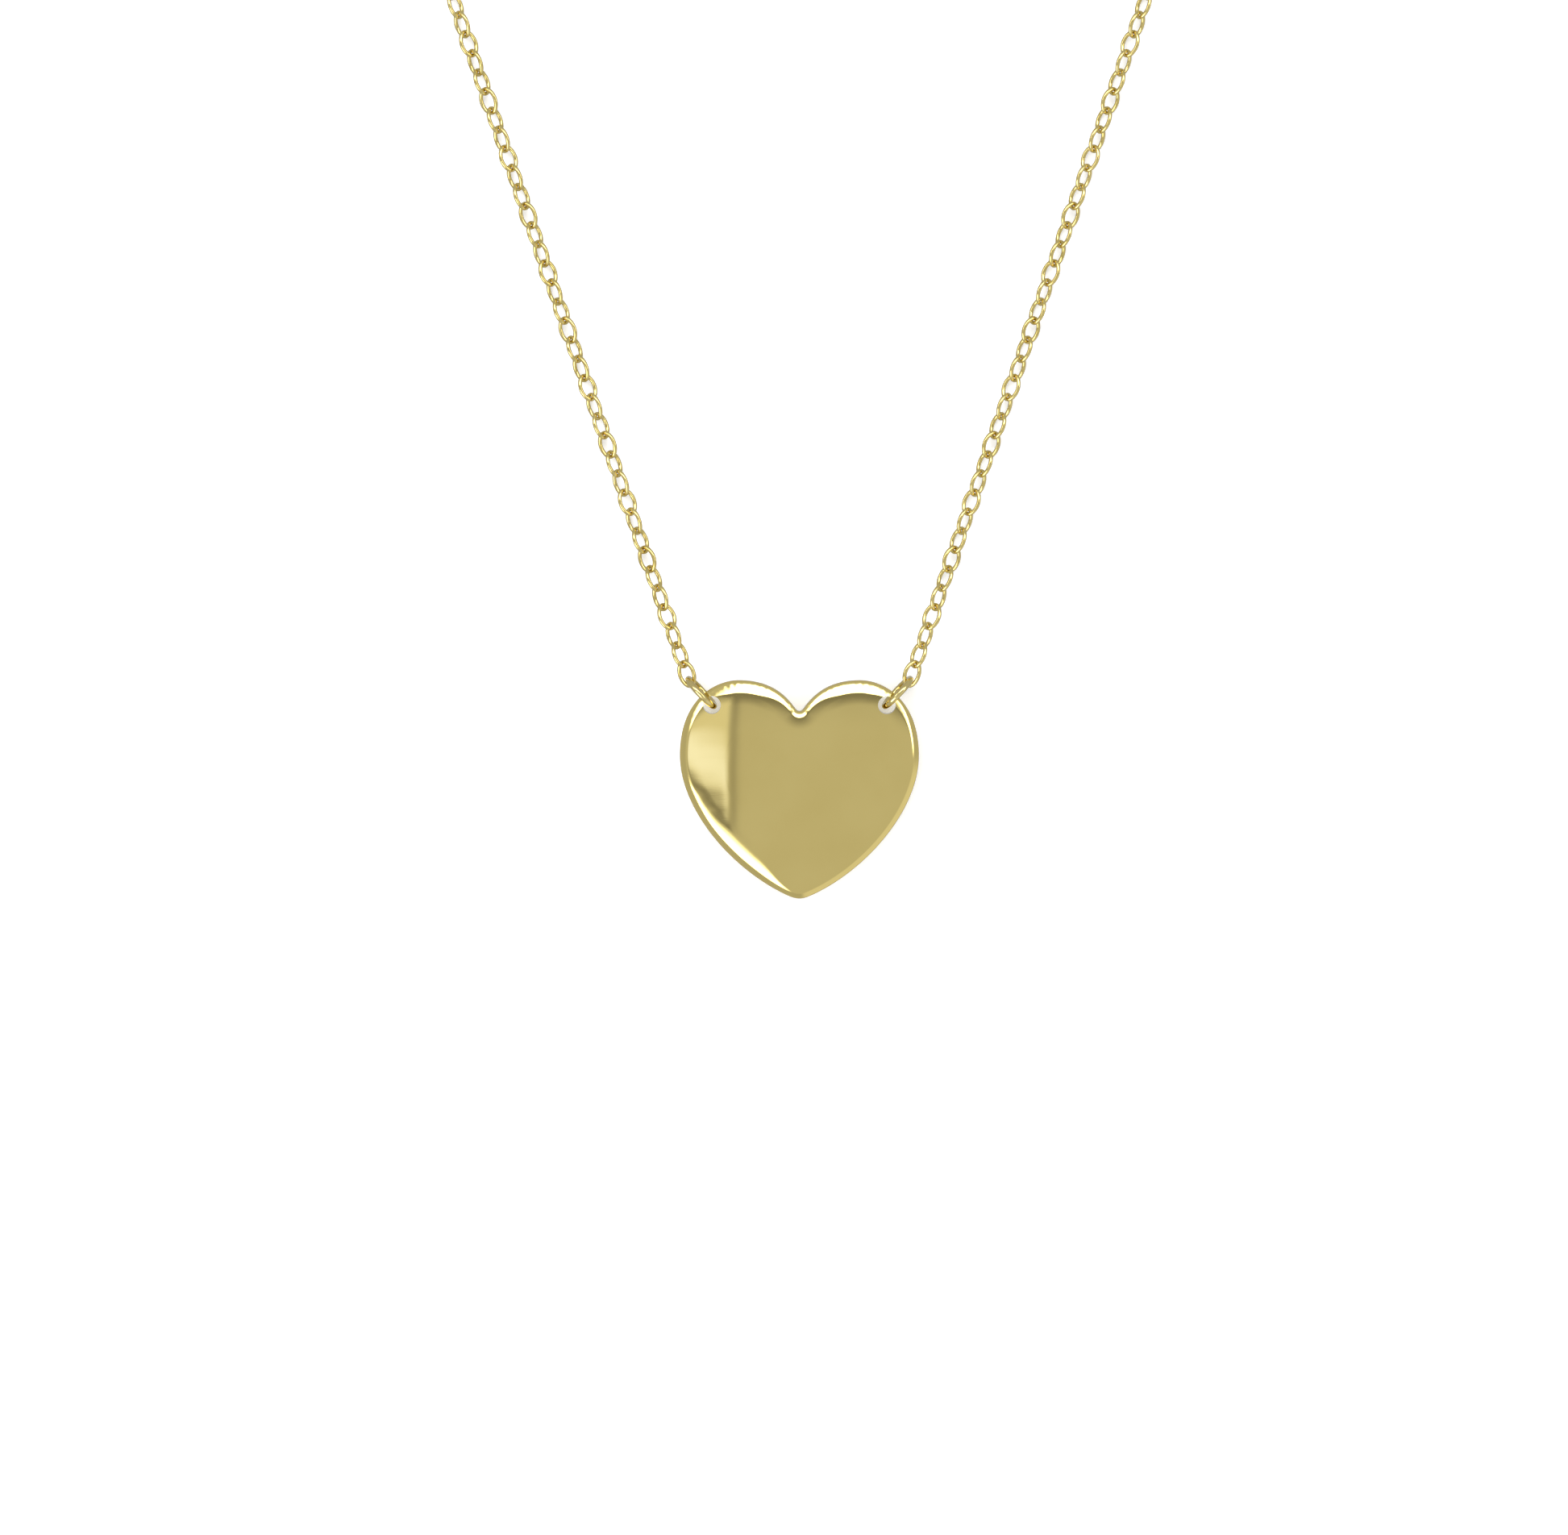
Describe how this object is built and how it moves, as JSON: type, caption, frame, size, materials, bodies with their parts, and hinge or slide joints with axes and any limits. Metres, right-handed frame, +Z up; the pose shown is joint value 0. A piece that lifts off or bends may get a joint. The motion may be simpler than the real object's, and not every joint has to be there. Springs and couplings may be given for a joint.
{
  "type": "pendant necklace",
  "caption": "Heart pendant necklace lying open on a flat surface: a polished solid heart on two jump rings, two legs of fine oval cable chain, a spring ring clasp and an end tag.",
  "frame": {"origin": "on the surface the necklace lies on, below the middle of its outline", "axes": "+Z up, out of the heart's polished face; -Y towards the heart's point; +X to the right as the heart is seen from the front"},
  "size_m": [0.096, 0.2269, 0.0025],
  "materials": {
    "polished_gold": "mirror polished",
    "ring_gold": "polished",
    "chain_gold": "polished",
    "clasp_gold": "polished",
    "spring_steel": "drawn wire"
  },
  "bodies": {
    "heart": {"heart": "polished_gold"},
    "left_jump_ring": {"left_jump_ring": "ring_gold"},
    "right_jump_ring": {"right_jump_ring": "ring_gold"},
    "left_chain_1": {"left_chain_1": "chain_gold"},
    "left_chain_2": {"left_chain_2": "chain_gold"},
    "left_chain_3": {"left_chain_3": "chain_gold"},
    "left_chain_4": {"left_chain_4": "chain_gold"},
    "left_chain_5": {"left_chain_5": "chain_gold"},
    "left_chain_6": {"left_chain_6": "chain_gold"},
    "right_chain_1": {"right_chain_1": "chain_gold"},
    "right_chain_2": {"right_chain_2": "chain_gold"},
    "right_chain_3": {"right_chain_3": "chain_gold"},
    "right_chain_4": {"right_chain_4": "chain_gold"},
    "right_chain_5": {"right_chain_5": "chain_gold"},
    "right_chain_6": {"right_chain_6": "chain_gold"},
    "clasp_jump_ring": {"clasp_jump_ring": "ring_gold"},
    "clasp_case": {"clasp_case": "clasp_gold", "clasp_spring": "spring_steel"},
    "clasp_bolt": {"clasp_bolt": "clasp_gold", "clasp_lever": "clasp_gold"},
    "tag_jump_ring": {"tag_jump_ring": "ring_gold"},
    "end_tag": {"end_tag": "clasp_gold"}
  },
  "joints": [
    {"name": "left_ring_swing", "type": "hinge", "parent": "left_chain_1", "child": "left_jump_ring", "pos_m": [-0.00649, -0.10058, 0.00126], "axis": [0, 0, 1], "range_deg": [-10, 10]},
    {"name": "heart_tilt", "type": "hinge", "parent": "left_jump_ring", "child": "heart", "pos_m": [-0.00512, -0.10205, 0.00126], "axis": [-1, 0, 0], "range_deg": [0, 25]},
    {"name": "right_ring_tilt", "type": "hinge", "parent": "heart", "child": "right_jump_ring", "pos_m": [0.00512, -0.10205, 0.00126], "axis": [-1, 0, 0], "range_deg": [-25, 0]},
    {"name": "right_ring_swing", "type": "hinge", "parent": "right_jump_ring", "child": "right_chain_1", "pos_m": [0.00649, -0.10058, 0.00126], "axis": [0, 0, -1], "range_deg": [-10, 10]},
    {"name": "left_chain_bend_1", "type": "hinge", "parent": "left_chain_1", "child": "left_chain_2", "pos_m": [-0.01803, -0.06724, 0.00049], "axis": [0, 0, 1], "range_deg": [-15, 15]},
    {"name": "left_chain_bend_2", "type": "hinge", "parent": "left_chain_2", "child": "left_chain_3", "pos_m": [-0.02967, -0.03365, 0.00049], "axis": [0, 0, -1], "range_deg": [-20, 20]},
    {"name": "left_chain_bend_4", "type": "hinge", "parent": "left_chain_4", "child": "left_chain_5", "pos_m": [-0.04725, 0.03493, 0.00049], "axis": [0, 0, -1], "range_deg": [-30, 30]},
    {"name": "left_chain_bend_5", "type": "hinge", "parent": "left_chain_5", "child": "left_chain_6", "pos_m": [-0.04496, 0.07032, 0.00049], "axis": [0, 0, 1], "range_deg": [-35, 35]},
    {"name": "left_chain_lift", "type": "hinge", "parent": "left_chain_3", "child": "left_chain_4", "pos_m": [-0.04117, -0.00001, 0.00049], "axis": [0.958, 0.2868, 0], "range_deg": [0, 45]},
    {"name": "right_chain_bend_1", "type": "hinge", "parent": "right_chain_1", "child": "right_chain_2", "pos_m": [0.01803, -0.06724, 0.00049], "axis": [0, 0, 1], "range_deg": [-15, 15]},
    {"name": "right_chain_bend_2", "type": "hinge", "parent": "right_chain_2", "child": "right_chain_3", "pos_m": [0.02967, -0.03365, 0.00049], "axis": [0, 0, -1], "range_deg": [-20, 20]},
    {"name": "right_chain_bend_4", "type": "hinge", "parent": "right_chain_4", "child": "right_chain_5", "pos_m": [0.04725, 0.03493, 0.00049], "axis": [0, 0, -1], "range_deg": [-30, 30]},
    {"name": "right_chain_bend_5", "type": "hinge", "parent": "right_chain_5", "child": "right_chain_6", "pos_m": [0.04496, 0.07032, 0.00049], "axis": [0, 0, 1], "range_deg": [-35, 35]},
    {"name": "right_chain_lift", "type": "hinge", "parent": "right_chain_3", "child": "right_chain_4", "pos_m": [0.04117, -0.00001, 0.00049], "axis": [0.958, -0.2868, 0], "range_deg": [0, 45]},
    {"name": "clasp_ring_swing", "type": "hinge", "parent": "left_chain_6", "child": "clasp_jump_ring", "pos_m": [-0.03454, 0.10393, 0.00104], "axis": [0, 0, 1], "range_deg": [-30, 30]},
    {"name": "clasp_swing", "type": "hinge", "parent": "clasp_jump_ring", "child": "clasp_case", "pos_m": [-0.03363, 0.10593, 0.00075], "axis": [0, 0, 1], "range_deg": [-25, 25]},
    {"name": "clasp_bolt_slide", "type": "hinge", "parent": "clasp_case", "child": "clasp_bolt", "pos_m": [-0.03185, 0.10965, 0.00075], "axis": [0, 0, -1], "range_deg": [0, 65], "stiffness_Nm_per_rad": 0.002, "springref_deg": -40.11},
    {"name": "tag_ring_swing", "type": "hinge", "parent": "right_chain_6", "child": "tag_jump_ring", "pos_m": [0.03454, 0.10393, 0.00104], "axis": [0, 0, 1], "range_deg": [-30, 30]},
    {"name": "tag_swing", "type": "hinge", "parent": "tag_jump_ring", "child": "end_tag", "pos_m": [0.03363, 0.10593, 0.00074], "axis": [0, 0, 1], "range_deg": [-25, 25]}
  ],
  "couplings": [
    {"joint": "right_ring_tilt", "follows": "heart_tilt", "ratio": -1}
  ]
}
